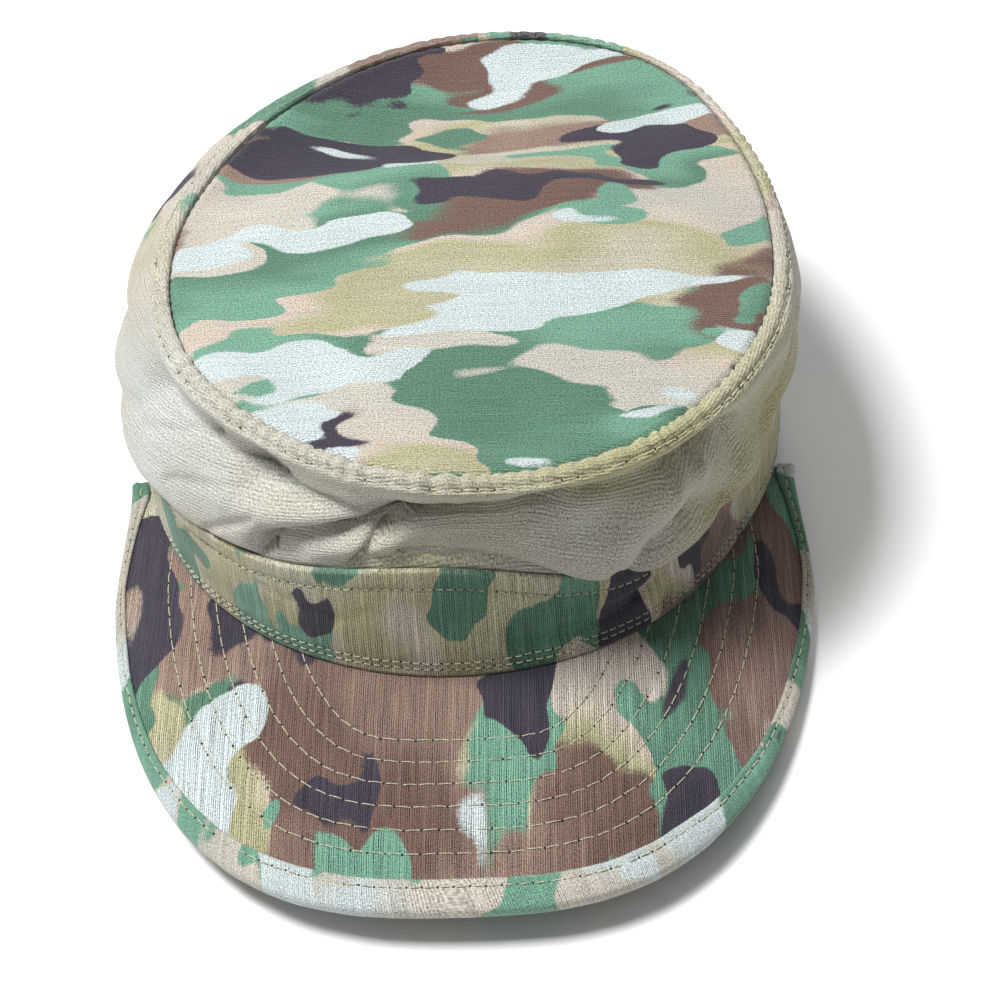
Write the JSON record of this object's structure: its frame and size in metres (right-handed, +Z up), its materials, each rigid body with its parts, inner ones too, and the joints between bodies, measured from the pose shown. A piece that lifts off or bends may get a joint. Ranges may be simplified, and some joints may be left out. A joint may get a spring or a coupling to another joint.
{
  "type": "patrol cap",
  "caption": "Soft flat-topped cloth cap with an oval crown, a sewn band and a stiff curved peak with a bound edge, resting on its rim.",
  "frame": {"origin": "middle of the footprint, on the surface that the cap rests on", "axes": "+Z up, -Y out of the front of the cap over the peak, +X to the wearer's left"},
  "size_m": [0.19, 0.2716, 0.0848],
  "materials": {
    "top_cloth": "matte printed ripstop cotton",
    "wall_cloth": "matte printed ripstop cotton",
    "band_cloth": "matte printed ripstop cotton",
    "peak_cloth": "matte printed ripstop cotton",
    "binding_cloth": "matte printed ripstop cotton",
    "thread": "spun sewing thread"
  },
  "bodies": {
    "root": {"crown_top": "top_cloth", "crown_wall": "wall_cloth", "band": "band_cloth", "peak": "peak_cloth", "peak_binding": "binding_cloth"}
  },
  "joints": []
}
